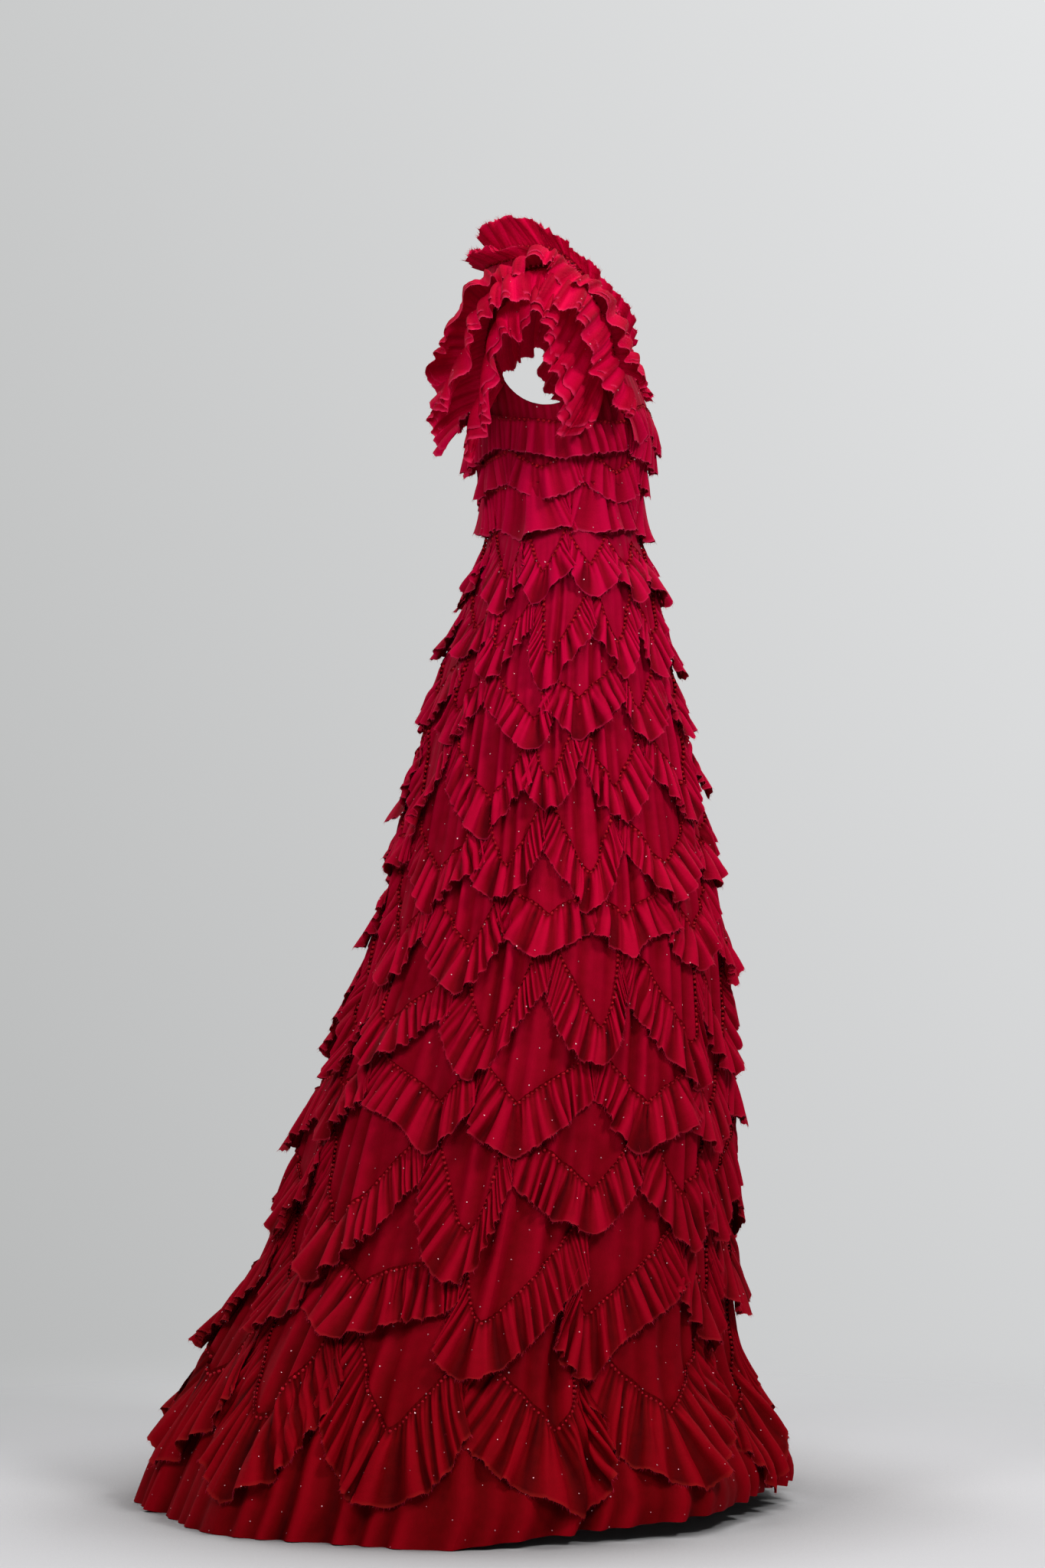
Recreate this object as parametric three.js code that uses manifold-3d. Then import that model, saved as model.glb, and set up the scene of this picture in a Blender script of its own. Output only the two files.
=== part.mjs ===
// A floor-length gown of dotted tulle, covered in gathered ruffles, standing as it hangs when worn.
// Millimetres, +Z up, the front faces -Y, and the wearer's left is +X. The origin is midway
// between the shoulder seams, where the gown is carried. Heights below are above the floor.
import * as THREE from "three";
import { mergeVertices } from "three/addons/utils/BufferGeometryUtils.js";
import Module from "manifold-3d";

const wasm = await Module();
wasm.setup();

const shoulderHeight = 1500;
const waistHeight = 1200;
const clothWall = 1.6;
const seamGap = 0.3;
const restingLift = 0.6; // a ruffle is this far off its panel at the tips of its seam line,
const midSeamLift = 1.8; // and this far between them
const turn = 2 * Math.PI;

// The body of the gown, one row for each level: how far it reaches to the front, back and side.
const levels = [
  { height: 0, front: 276, back: 500, side: 425 },
  { height: 40, front: 288, back: 484, side: 420 },
  { height: 95, front: 264, back: 456, side: 403 },
  { height: 160, front: 234, back: 420, side: 376 },
  { height: 300, front: 218, back: 344, side: 330 },
  { height: 500, front: 222, back: 280, side: 284 },
  { height: 690, front: 212, back: 212, side: 246 },
  { height: 880, front: 180, back: 166, side: 208 },
  { height: 1030, front: 150, back: 126, side: 182 },
  { height: 1120, front: 134, back: 96, side: 156 },
  { height: 1200, front: 112, back: 73, side: 129 },
  { height: 1260, front: 116, back: 80, side: 134 },
  { height: 1335, front: 126, back: 94, side: 150 },
  { height: 1400, front: 104, back: 100, side: 160 },
  { height: 1450, front: 86, back: 98, side: 163 },
  { height: 1485, front: 66, back: 90, side: 160 },
  { height: 1510, front: 50, back: 80, side: 138 },
  { height: 1530, front: 40, back: 72, side: 104 },
  { height: 1550, front: 34, back: 60, side: 68 },
];
// The hem clears the floor by this much in front, and rests on it behind.
const frontHemLift = 26;
const hemLiftCurve = 0.7;
const bodiceSteps = 36;

// The skirt's lattice of V-shaped ruffle rows, numbered from the hem up.
const lattice = {
  columns: 12,
  stepsPerV: 6,
  rows: 11,
  lowestValley: 140,
  spacing: 122,
  spacingShrink: 5,
  tipGap: 16,
  depths: [96, 80, 72, 65, 58, 52, 47, 43, 39, 36, 33],
  liftPerDepth: 0.36,
  lowestLiftPerDepth: 0.1,
  twoBandRows: 3,
  spread: 0.24,
};
const sideSeam = 18; // the side seams lie this many lattice steps from the middle of the front
// How a zigzag ruffle falls from its seam, as shares of its depth: at a V's tips, in its valleys
// and on its slants, and how far it stands off at a peak beside what it does in a valley.
const fallShape = { drop: 0.88, valleyDrop: 0.1, slantDrop: 0.06, peakLift: 0.25, curve: 0.8 };
const skirtFold = { count: 8, depth: 11, from: 1100 };

// The cutters for the armholes and the neckline reach well past the cloth.
const armhole = { back: 2, height: 1418, halfDepth: 62, halfHeight: 72, steps: 28 };
const armCut = { inside: 100, outside: 250 };
const neckCutDepth = 200;
const neckline = [
  { half: 0, height: 1424 },
  { half: 28, height: 1462 },
  { half: 50, height: 1500 },
  { half: 62, height: 1532 },
  { half: 72, height: 1560 },
];

// Ruffles of the bodice: valley is the lowest point of the seam, and rise the height of each V.
const bodiceRuffles = [
  { name: "waist_ruffle", valley: 1248, rise: 0, depth: 38, columns: 6, middle: 0, reach: 180 },
  { name: "bodice_ruffle", valley: 1278, rise: 28, depth: 42, columns: 7, middle: 0, reach: 180 },
  {
    name: "chest_ruffle", valley: 1313, rise: 20, depth: 42, columns: 4, middle: 0, reach: 180,
    stepsPerV: bodiceSteps / 4,
  },
  { name: "back_ruffle_lower", valley: 1362, rise: 30, depth: 44, columns: 8, middle: 180, reach: 32 },
  { name: "back_ruffle_middle", valley: 1432, rise: 26, depth: 44, columns: 8, middle: 180, reach: 28 },
  { name: "back_ruffle_upper", valley: 1488, rise: 16, depth: 40, columns: 8, middle: 180, reach: 28 },
];

// Ruffles hung between two lines. The seam line lies on the gown, at an angle from the front
// and a height. The free edge has its own points: out to the side, to the back, and the height.
// Round the neck both lines run from the middle of the front to the middle of the back.
const neckRuffles = [
  {
    name: "collar_ruffle", seamLift: 0.8, waves: 10, wave: 6, bulge: 0,
    seam: [
      { angle: 0, height: 1414 },
      { angle: 12, height: 1455 },
      { angle: 22, height: 1494 },
      { angle: 37, height: 1520 },
      { angle: 62, height: 1538 },
      { angle: 90, height: 1542 },
      { angle: 135, height: 1542 },
      { angle: 180, height: 1542 },
    ],
    freeEdge: [
      { out: 0, back: -108, height: 1436 },
      { out: 34, back: -90, height: 1480 },
      { out: 60, back: -56, height: 1518 },
      { out: 76, back: -26, height: 1542 },
      { out: 86, back: 6, height: 1566 },
      { out: 86, back: 36, height: 1582 },
      { out: 64, back: 73, height: 1586 },
      { out: 0, back: 87, height: 1584 },
    ],
  },
  {
    name: "neck_ruffle", seamLift: 1.0, waves: 6, wave: 5, bulge: 0,
    seam: [
      { angle: 0, height: 1392 },
      { angle: 15, height: 1434 },
      { angle: 26, height: 1474 },
      { angle: 44, height: 1504 },
      { angle: 64, height: 1520 },
      { angle: 90, height: 1525 },
      { angle: 135, height: 1525 },
      { angle: 180, height: 1524 },
    ],
    freeEdge: [
      { out: 0, back: -124, height: 1360 },
      { out: 36, back: -112, height: 1404 },
      { out: 66, back: -92, height: 1450 },
      { out: 96, back: -62, height: 1490 },
      { out: 116, back: -26, height: 1520 },
      { out: 124, back: 16, height: 1537 },
      { out: 84, back: 80, height: 1543 },
      { out: 0, back: 98, height: 1538 },
    ],
  },
];

// On each shoulder three tiers lie round the armhole, from the front over the arm to the back.
const sleeveTiers = [
  {
    name: "sleeve_lower", seamLift: 0.8, waves: 4, wave: 6, bulge: 6,
    seam: [
      { angle: 60, height: 1366 },
      { angle: 50, height: 1414 },
      { angle: 54, height: 1466 },
      { angle: 80, height: 1496 },
      { angle: 112, height: 1474 },
      { angle: 129, height: 1424 },
      { angle: 125, height: 1372 },
    ],
    freeEdge: [
      { out: 160, back: -58, height: 1318 },
      { out: 190, back: -22, height: 1322 },
      { out: 210, back: -14, height: 1400 },
      { out: 218, back: 8, height: 1450 },
      { out: 212, back: 50, height: 1432 },
      { out: 198, back: 76, height: 1360 },
      { out: 158, back: 108, height: 1262 },
    ],
  },
  {
    name: "sleeve_middle", seamLift: 0.8, waves: 3, wave: 7, bulge: 12,
    seam: [
      { angle: 52, height: 1354 },
      { angle: 42, height: 1408 },
      { angle: 47, height: 1478 },
      { angle: 78, height: 1506 },
      { angle: 118, height: 1486 },
      { angle: 138, height: 1424 },
      { angle: 134, height: 1352 },
    ],
    freeEdge: [
      { out: 148, back: -102, height: 1340 },
      { out: 182, back: -70, height: 1384 },
      { out: 208, back: -36, height: 1446 },
      { out: 212, back: 12, height: 1478 },
      { out: 202, back: 66, height: 1456 },
      { out: 184, back: 116, height: 1380 },
      { out: 146, back: 150, height: 1300 },
    ],
  },
  {
    name: "sleeve_upper", seamLift: 0.8, waves: 4, wave: 7, bulge: 14,
    seam: [
      { angle: 42, height: 1386 },
      { angle: 36, height: 1440 },
      { angle: 40, height: 1486 },
      { angle: 74, height: 1516 },
      { angle: 126, height: 1494 },
      { angle: 146, height: 1440 },
      { angle: 142, height: 1384 },
    ],
    freeEdge: [
      { out: 124, back: -118, height: 1388 },
      { out: 152, back: -84, height: 1446 },
      { out: 174, back: -36, height: 1494 },
      { out: 180, back: 12, height: 1514 },
      { out: 172, back: 66, height: 1498 },
      { out: 154, back: 122, height: 1440 },
      { out: 124, back: 152, height: 1362 },
    ],
  },
];

const crimson = { skirt: 0x7d0a22, ruffle: 0x9c0f2c, bodice: 0x860b26 };
const finish = (color) => new THREE.MeshStandardMaterial({ color, roughness: 0.75, metalness: 0 });

// One column of the table at any height, straight between its rows.
function reach(column, height) {
  const z = THREE.MathUtils.clamp(height, levels[0].height, levels.at(-1).height);
  const i = Math.min(levels.length - 2, levels.findLastIndex((row) => row.height <= z));
  const [low, high] = [levels[i], levels[i + 1]];
  return THREE.MathUtils.mapLinear(z, low.height, high.height, low[column], high[column]);
}

function section(height) {
  const front = reach("front", height);
  const back = reach("back", height);
  return { side: reach("side", height), deep: (front + back) / 2, centre: (back - front) / 2 };
}

// The skirt's soft vertical folds deepen from the hip to the hem.
function foldAt(angle, height) {
  const share = Math.max(0, skirtFold.from - height) / skirtFold.from;
  return skirtFold.depth * share ** 1.3 * Math.cos(skirtFold.count * angle);
}

// A point on the gown's outer skin. The angle is 0 at the front and 90 degrees at the wearer's left.
function skin(angle, height) {
  const { side, deep, centre } = section(height);
  const grow = 1 + (2 * foldAt(angle, height)) / (side + deep);
  return new THREE.Vector3(
    side * grow * Math.sin(angle),
    centre - deep * grow * Math.cos(angle),
    height,
  );
}

function outward(angle, height) {
  const [stepAround, stepUp] = [0.01, 2];
  const around = skin(angle + stepAround, height).sub(skin(angle - stepAround, height));
  const up = skin(angle, height + stepUp).sub(skin(angle, height - stepUp));
  return around.cross(up).normalize();
}

const offSkin = (angle, height, lift) =>
  skin(angle, height).addScaledVector(outward(angle, height), lift);

// A closed solid from a grid of points on two skins. A ring's last column joins its first.
function solidFromSkins(columns, rows, ring, outer, inner) {
  const across = ring ? columns : columns + 1;
  const place = (i, j, k) => (k * (rows + 1) + j) * across + (ring ? i % columns : i);
  const positions = [];
  [outer, inner].forEach((skinAt) => {
    for (let j = 0; j <= rows; j++) {
      for (let i = 0; i < across; i++) positions.push(...skinAt(i, j).toArray());
    }
  });
  const index = [];
  const quad = (a, b, c, d) => index.push(a, b, c, a, c, d);
  for (let i = 0; i < columns; i++) {
    for (let j = 0; j < rows; j++) {
      quad(place(i, j, 0), place(i, j + 1, 0), place(i + 1, j + 1, 0), place(i + 1, j, 0));
      quad(place(i, j, 1), place(i + 1, j, 1), place(i + 1, j + 1, 1), place(i, j + 1, 1));
    }
    quad(place(i, 0, 0), place(i + 1, 0, 0), place(i + 1, 0, 1), place(i, 0, 1));
    quad(place(i, rows, 0), place(i, rows, 1), place(i + 1, rows, 1), place(i + 1, rows, 0));
  }
  for (let j = 0; j < rows && !ring; j++) {
    quad(place(0, j, 0), place(0, j, 1), place(0, j + 1, 1), place(0, j + 1, 0));
    quad(place(columns, j, 0), place(columns, j + 1, 0), place(columns, j + 1, 1), place(columns, j, 1));
  }
  if (enclosed(positions, index) < 0) index.reverse();
  const geometry = new THREE.BufferGeometry();
  geometry.setAttribute("position", new THREE.Float32BufferAttribute(positions, 3));
  geometry.setIndex(index);
  return geometry;
}

function enclosed(positions, index) {
  const corner = (k) => new THREE.Vector3().fromArray(positions, 3 * index[k]);
  let sum = 0;
  for (let k = 0; k < index.length; k += 3) sum += corner(k).dot(corner(k + 1).cross(corner(k + 2)));
  return sum / 6;
}

// A sheet of cloth from its middle surface, with half the wall on each side.
function sheetOfCloth(columns, rows, ring, middle) {
  const grid = [];
  for (let j = 0; j <= rows; j++) {
    grid.push([]);
    for (let i = 0; i <= columns; i++) grid[j].push(middle(i / columns, j / rows));
  }
  const column = (i) => (ring ? (i + columns) % columns : THREE.MathUtils.clamp(i, 0, columns));
  const normal = (i, j) => {
    const [above, below] = [Math.max(0, j - 1), Math.min(rows, j + 1)];
    const along = grid[j][column(i + 1)].clone().sub(grid[j][column(i - 1)]);
    const down = grid[below][column(i)].clone().sub(grid[above][column(i)]);
    return down.cross(along).normalize();
  };
  const side = (sign) => (i, j) =>
    grid[j][column(i)].clone().addScaledVector(normal(i, j), (sign * clothWall) / 2);
  return solidFromSkins(columns, rows, ring, side(1), side(-1));
}

function named(name, geometry, color) {
  geometry.computeVertexNormals();
  const mesh = new THREE.Mesh(geometry, finish(color));
  mesh.name = name;
  return mesh;
}

// Half of the skirt, front or back, from side seam to side seam.
function skirtPanel(name, firstStep, lastStep) {
  const columns = lastStep - firstStep;
  const heights = levels.map((row) => row.height).filter((height) => height <= waistHeight);
  const rows = heights.length - 1;
  const stepAngle = turn / (lattice.columns * lattice.stepsPerV);
  const at = (lift) => (i, j) => {
    const height = Math.min(heights[rows - j], waistHeight - seamGap);
    const gap = seamGap / section(height).side;
    const inwards = i === 0 ? gap : i === columns ? -gap : 0;
    const angle = (firstStep + i) * stepAngle + inwards;
    const point = offSkin(angle, height, lift);
    point.z = j < rows ? height : frontHemLift * Math.max(0, Math.cos(angle)) ** hemLiftCurve;
    return point;
  };
  return named(name, solidFromSkins(columns, rows, false, at(0), at(-clothWall)), crimson.skirt);
}

// A row of ruffle sewn on in Vs. Its free edge flares most below each valley.
function ruffleRow(row) {
  const reachAngle = THREE.MathUtils.degToRad(row.reach);
  const middle = THREE.MathUtils.degToRad(row.middle);
  const ring = row.reach === 180;
  const stepsPerV = row.stepsPerV ?? lattice.stepsPerV;
  const columns = Math.round((row.columns * stepsPerV * row.reach) / 180);
  const at = (p, q) => {
    const angle = middle + (2 * p - 1) * reachAngle;
    const v = (row.columns * angle) / turn - row.phase;
    const fromValley = v - Math.round(v);
    const flare = (1 + Math.cos(turn * fromValley)) / 2;
    const aside = lattice.spread * row.depth * q * Math.sin(turn * fromValley);
    const slant = Math.sin(turn * fromValley) ** 2;
    const { drop, valleyDrop, slantDrop, peakLift, curve } = fallShape;
    const fallen = row.depth * q * (drop + valleyDrop * flare + slantDrop * slant);
    const height = row.valley + 2 * row.rise * Math.abs(fromValley) - fallen;
    const seamLift = THREE.MathUtils.lerp(restingLift, midSeamLift, slant);
    const lift = row.depth * row.liftPerDepth * q ** curve * (peakLift + (1 - peakLift) * flare);
    return offSkin(angle + aside / section(row.valley).side, height, seamLift + clothWall / 2 + lift);
  };
  return named(row.name, sheetOfCloth(columns, row.steps, ring, at), crimson.ruffle);
}

function skirtRows() {
  const rows = [];
  let valley = lattice.lowestValley;
  for (let k = 0; k < lattice.rows; k++) {
    const spacing = lattice.spacing - lattice.spacingShrink * k;
    rows.push({
      name: "skirt_ruffle_" + String(k + 1).padStart(2, "0"),
      valley,
      rise: spacing - lattice.tipGap,
      depth: lattice.depths[k],
      liftPerDepth: k > 0 ? lattice.liftPerDepth : lattice.lowestLiftPerDepth,
      columns: lattice.columns,
      phase: ((k + 1) % 2) / 2,
      middle: 0,
      reach: 180,
      steps: k < lattice.twoBandRows ? 2 : 1,
    });
    valley += spacing;
  }
  return rows;
}

function solidOf(geometry) {
  const merged = mergeVertices(
    new THREE.BufferGeometry()
      .setAttribute("position", geometry.getAttribute("position"))
      .setIndex(geometry.index),
    1e-3,
  );
  return new wasm.Manifold(
    new wasm.Mesh({
      numProp: 3,
      vertProperties: merged.attributes.position.array,
      triVerts: new Uint32Array(merged.index.array),
    }),
  );
}

function geometryOf(solid) {
  const mesh = solid.getMesh();
  const geometry = new THREE.BufferGeometry();
  geometry.setAttribute("position", new THREE.BufferAttribute(mesh.vertProperties, 3));
  geometry.setIndex(new THREE.BufferAttribute(mesh.triVerts, 1));
  return geometry;
}

// The bodice is a tube from waist to neck, with armholes and a V neck cut out, halved at the side seams.
function bodiceTube() {
  const heights = levels.map((row) => row.height).filter((height) => height >= waistHeight);
  const rows = heights.length - 1;
  const at = (lift) => (i, j) => {
    const height = heights[rows - j];
    const point = offSkin((turn * i) / bodiceSteps, height, lift);
    point.z = height;
    return point;
  };
  return solidOf(solidFromSkins(bodiceSteps, rows, true, at(0), at(-clothWall)));
}

function armholeCutter(side) {
  const outline = new THREE.Shape();
  outline.absellipse(armhole.back, armhole.height, armhole.halfDepth, armhole.halfHeight, 0, turn);
  const length = armCut.outside - armCut.inside;
  const cutter = new THREE.ExtrudeGeometry(outline, {
    depth: length,
    bevelEnabled: false,
    curveSegments: armhole.steps,
  });
  // The outline's x and y become the gown's Y and Z, and the extrusion runs along X.
  cutter.applyMatrix4(
    new THREE.Matrix4().makeBasis(
      new THREE.Vector3(0, 1, 0),
      new THREE.Vector3(0, 0, 1),
      new THREE.Vector3(1, 0, 0),
    ),
  );
  cutter.translate(side > 0 ? armCut.inside : -armCut.outside, 0, 0);
  return solidOf(cutter);
}

function neckCutter() {
  const rightHalf = neckline.map((row) => new THREE.Vector2(row.half, row.height));
  const leftHalf = neckline.slice(1).map((row) => new THREE.Vector2(-row.half, row.height));
  const outline = new THREE.Shape([...rightHalf, ...leftHalf.reverse()]);
  const cutter = new THREE.ExtrudeGeometry(outline, { depth: neckCutDepth, bevelEnabled: false });
  cutter.rotateX(turn / 4);
  return solidOf(cutter);
}

function frontOrBackHalf(side) {
  const size = 1000;
  const box = new THREE.BoxGeometry(size, size, size);
  const seam = section(armhole.height).centre;
  box.translate(0, seam + (side * (size + seamGap)) / 2, armhole.height);
  return solidOf(box);
}

function bodice() {
  const cut = bodiceTube()
    .subtract(armholeCutter(1))
    .subtract(armholeCutter(-1))
    .subtract(neckCutter());
  return [["bodice_front", -1], ["bodice_back", 1]].map(([name, side]) =>
    named(name, geometryOf(cut.intersect(frontOrBackHalf(side))), crimson.bodice),
  );
}

// A ruffle hung between its seam line on the gown and its free edge, which waves.
function hungRuffle(spec, name, side, ring) {
  const seamLine = new THREE.CatmullRomCurve3(
    spec.seam.map((row) => new THREE.Vector3(row.angle, 0, row.height)),
  );
  const freeLine = new THREE.CatmullRomCurve3(
    spec.freeEdge.map((row) => new THREE.Vector3(row.out, row.back, row.height)),
  );
  const columns = ring ? spec.waves * 6 : 28;
  const at = (p, q) => {
    const along = ring ? 1 - Math.abs(2 * p - 1) : p;
    const hand = ring && p > 0.5 ? -side : side;
    const { x: degrees, z: height } = seamLine.getPoint(along);
    const angle = hand * THREE.MathUtils.degToRad(degrees);
    const seam = offSkin(angle, height, spec.seamLift + clothWall / 2);
    const free = freeLine.getPoint(along);
    free.x *= hand;
    const towardEnds = ring ? 1 : Math.sin(Math.PI * p) ** 0.5;
    const wave = spec.wave * Math.cos(turn * spec.waves * p) * q * towardEnds;
    const edgeLine = freeLine.getTangent(along);
    edgeLine.x *= hand;
    const away = free.clone().sub(seam).cross(edgeLine).normalize().multiplyScalar(hand);
    return seam.lerp(free, q).addScaledVector(away, 4 * spec.bulge * q * (1 - q) + wave);
  };
  return named(name, sheetOfCloth(columns, ring ? 1 : 2, ring, at), crimson.ruffle);
}

const gown = new THREE.Group();
gown.name = "ruffled_gown";
gown.position.z = -shoulderHeight;
const stepsRound = lattice.columns * lattice.stepsPerV;
gown.add(skirtPanel("skirt_front", -sideSeam, sideSeam));
gown.add(skirtPanel("skirt_back", sideSeam, stepsRound - sideSeam));
skirtRows().forEach((row) => gown.add(ruffleRow(row)));
gown.add(...bodice());
bodiceRuffles.forEach((row) => {
  const phase = row.middle === 0 ? 0 : row.columns / 2;
  gown.add(ruffleRow({ ...row, phase, steps: 1, liftPerDepth: lattice.liftPerDepth }));
});
neckRuffles.forEach((spec) => gown.add(hungRuffle(spec, spec.name, 1, true)));
sleeveTiers.forEach((spec) => {
  gown.add(hungRuffle(spec, spec.name + "_left", 1, false));
  gown.add(hungRuffle(spec, spec.name + "_right", -1, false));
});

export default gown;
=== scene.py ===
import math
import bpy
import numpy as np
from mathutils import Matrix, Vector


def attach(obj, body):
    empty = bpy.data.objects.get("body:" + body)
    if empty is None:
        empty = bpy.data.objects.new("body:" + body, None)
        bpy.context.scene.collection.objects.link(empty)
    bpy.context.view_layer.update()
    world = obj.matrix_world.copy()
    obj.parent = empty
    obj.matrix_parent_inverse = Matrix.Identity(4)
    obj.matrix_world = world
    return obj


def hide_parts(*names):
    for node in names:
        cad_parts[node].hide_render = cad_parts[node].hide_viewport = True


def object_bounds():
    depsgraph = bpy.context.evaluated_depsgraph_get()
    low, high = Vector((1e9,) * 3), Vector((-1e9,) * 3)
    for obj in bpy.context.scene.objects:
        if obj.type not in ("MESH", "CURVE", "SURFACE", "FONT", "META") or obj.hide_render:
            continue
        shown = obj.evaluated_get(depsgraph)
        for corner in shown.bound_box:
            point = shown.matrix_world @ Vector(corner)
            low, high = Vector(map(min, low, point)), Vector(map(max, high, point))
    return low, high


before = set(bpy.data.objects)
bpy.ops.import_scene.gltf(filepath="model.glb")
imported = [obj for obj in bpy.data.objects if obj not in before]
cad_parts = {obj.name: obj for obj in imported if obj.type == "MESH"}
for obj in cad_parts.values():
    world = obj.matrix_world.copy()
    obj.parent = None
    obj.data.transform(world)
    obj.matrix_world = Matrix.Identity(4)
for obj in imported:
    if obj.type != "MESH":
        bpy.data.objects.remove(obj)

# A floor-length gown of dotted tulle, covered in gathered ruffles. Sizes below are in millimetres
# above the floor, as in the part's source, and turn to metres when a mesh is made.
print("gown: frame loaded,", len(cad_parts), "solids")
cadLow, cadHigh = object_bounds()

cameraView = {
    "place": (-6.33, 0.031, -0.614),  # square to the wearer's right side, at hip height
    "turned": (90, 0, -90),
    "lens": 117.1,
}


def placed(name, data):
    # a new object in the scene
    thing = bpy.data.objects.new(name, data)
    bpy.context.scene.collection.objects.link(thing)
    return thing


def makeCamera():
    data = bpy.data.cameras.new("photo_camera")
    data.lens = cameraView["lens"]
    camera = placed("photo_camera", data)
    camera.location = cameraView["place"]
    camera.rotation_euler = [math.radians(angle) for angle in cameraView["turned"]]
    bpy.context.scene.camera = camera


makeCamera()
print("gown: camera set")

# The body of the gown: height, reach to the front, to the back and to the side.
gownForm = {
    "shoulderHeight": 1500,
    "waistHeight": 1200,
    "levels": np.array([
        (0, 276, 500, 425), (40, 288, 484, 420), (95, 264, 456, 403), (160, 234, 420, 376),
        (300, 218, 344, 330), (500, 222, 280, 284), (690, 212, 212, 246), (880, 180, 166, 208),
        (1030, 150, 126, 182), (1120, 134, 96, 156), (1200, 112, 73, 129), (1260, 116, 80, 134),
        (1335, 126, 94, 150), (1400, 104, 100, 160), (1450, 86, 98, 163), (1485, 66, 90, 160),
        (1510, 50, 80, 138), (1530, 40, 72, 104), (1550, 34, 60, 68),
    ], float),
    "foldCount": 8,
    "foldDepth": 11,
    "foldFrom": 1100,
    "foldGrowth": 1.3,
    "probe": (0.02, 12),  # around and up, to find which way the skin faces
    "frontHemLift": 26,  # the hem clears the floor in front and rests on it behind
    "hemLiftCurve": 0.7,
    "seamGap": 0.3,
}
turn = 2 * math.pi


def easedColumn(column):
    # a level's reach at every 4 mm of height, eased through the table's rows
    heights, values = gownForm["levels"][:, 0], gownForm["levels"][:, column]
    slopes = np.gradient(values, heights)
    dense = np.arange(0, 1551, 4.0)
    i = np.clip(np.searchsorted(heights, dense, "right") - 1, 0, len(heights) - 2)
    span = heights[i + 1] - heights[i]
    t = (dense - heights[i]) / span
    rise = (2 * t**3 - 3 * t**2 + 1) * values[i] + (3 * t**2 - 2 * t**3) * values[i + 1]
    bend = (t**3 - 2 * t**2 + t) * slopes[i] + (t**3 - t**2) * slopes[i + 1]
    return dense, rise + span * bend


reaches = {name: easedColumn(k) for k, name in enumerate(("front", "back", "side"), 1)}


def reach(name, height):
    return np.interp(height, *reaches[name])


def skin(angle, height):
    # a point of the gown's outer skin: angle 0 is the front, and 90 degrees the wearer's left
    front, back, side = (reach(name, height) for name in ("front", "back", "side"))
    deep, centre = (front + back) / 2, (back - front) / 2
    share = np.clip(gownForm["foldFrom"] - height, 0, None) / gownForm["foldFrom"]
    fold = gownForm["foldDepth"] * share ** gownForm["foldGrowth"]
    fold = fold * np.cos(gownForm["foldCount"] * angle)
    grow = 1 + 2 * fold / (side + deep)
    return np.stack([
        side * grow * np.sin(angle),
        centre - deep * grow * np.cos(angle),
        height + 0 * angle,
    ], -1)


def unit(vectors):
    return vectors / np.maximum(np.linalg.norm(vectors, axis=-1, keepdims=True), 1e-9)


def outward(angle, height):
    turned, raised = gownForm["probe"]
    around = skin(angle + turned, height) - skin(angle - turned, height)
    up = skin(angle, height + raised) - skin(angle, height - raised)
    return unit(np.cross(around, up))


def offSkin(angle, height, lift):
    angle, height, lift = np.broadcast_arrays(angle, height, lift)
    return skin(angle, height) + outward(angle, height) * lift[..., None]


def toRow(points):
    # from millimetres above the floor to the row's metres from the shoulders
    return (points - np.array([0, 0, gownForm["shoulderHeight"]])) / 1000


def gridPiece(name, grid, cut, facts, ring=False, turned=False, keep=None):
    # a sheet from a grid of points, with its cut as the UV map in metres and its facts as attributes
    rows, columns = grid.shape[:2]
    j, i = np.meshgrid(np.arange(rows - 1), np.arange(columns if ring else columns - 1), indexing="ij")
    corners = [(j, i), (j + 1, i), (j + 1, i + 1), (j, i + 1)]
    if turned:
        corners.reverse()
    faces = np.stack([(a * columns + b % columns).ravel() for a, b in corners], 1)
    wide = np.concatenate([cut, cut[:, -1:] * [2, 1] - cut[:, -2:-1] * [1, 0]], 1) if ring else cut
    uvs = np.stack([wide[a, b].reshape(-1, 2) for a, b in corners], 1)
    if keep is not None:
        faces, uvs = faces[keep.ravel()], uvs[keep.ravel()]
    used, faces = np.unique(faces, return_inverse=True)
    mesh = bpy.data.meshes.new(name)
    mesh.from_pydata(toRow(grid).reshape(-1, 3)[used].tolist(), [], faces.reshape(-1, 4).tolist())
    mesh.uv_layers.new(name="cut").data.foreach_set("uv", uvs.ravel())
    for fact, values in facts.items():
        layer = mesh.attributes.new(fact, "FLOAT", "POINT")
        everywhere = np.broadcast_to(values, grid.shape[:2]).ravel()
        layer.data.foreach_set("value", everywhere[used].astype(np.float32))
    mesh.polygons.foreach_set("use_smooth", np.ones(len(mesh.polygons), bool))
    return placed(name, mesh)


def dressed(piece, material, slot, *nodes):
    piece.data.materials.append(material)
    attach(piece, "root")
    if nodes:
        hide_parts(*nodes)


def linear(hexColour):
    parts = [int(hexColour[k:k + 2], 16) / 255 for k in (1, 3, 5)]
    return [*((c / 12.92 if c <= 0.04045 else ((c + 0.055) / 1.055) ** 2.4) for c in parts), 1]


def addNode(tree, kind, settings=None, links=None, values=None):
    # one node with its settings, its unlinked values and what feeds it
    node = tree.nodes.new(kind)
    for key, value in (settings or {}).items():
        setattr(node, key, value)
    for key, value in (values or {}).items():
        node.inputs[key].default_value = value
    for key, source in (links or {}).items():
        tree.links.new(source, node.inputs[key])
    return node


def colourSteps(tree, source, steps):
    # a colour for every value of the source
    node = addNode(tree, "ShaderNodeValToRGB", links={0: source})
    ramp, steps = node.color_ramp, list(steps)
    while len(ramp.elements) < len(steps):
        ramp.elements.new(1)
    for element, (place, colour) in zip(ramp.elements, steps):
        element.position, element.color = place, linear(colour)
    return node.outputs[0]


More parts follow.
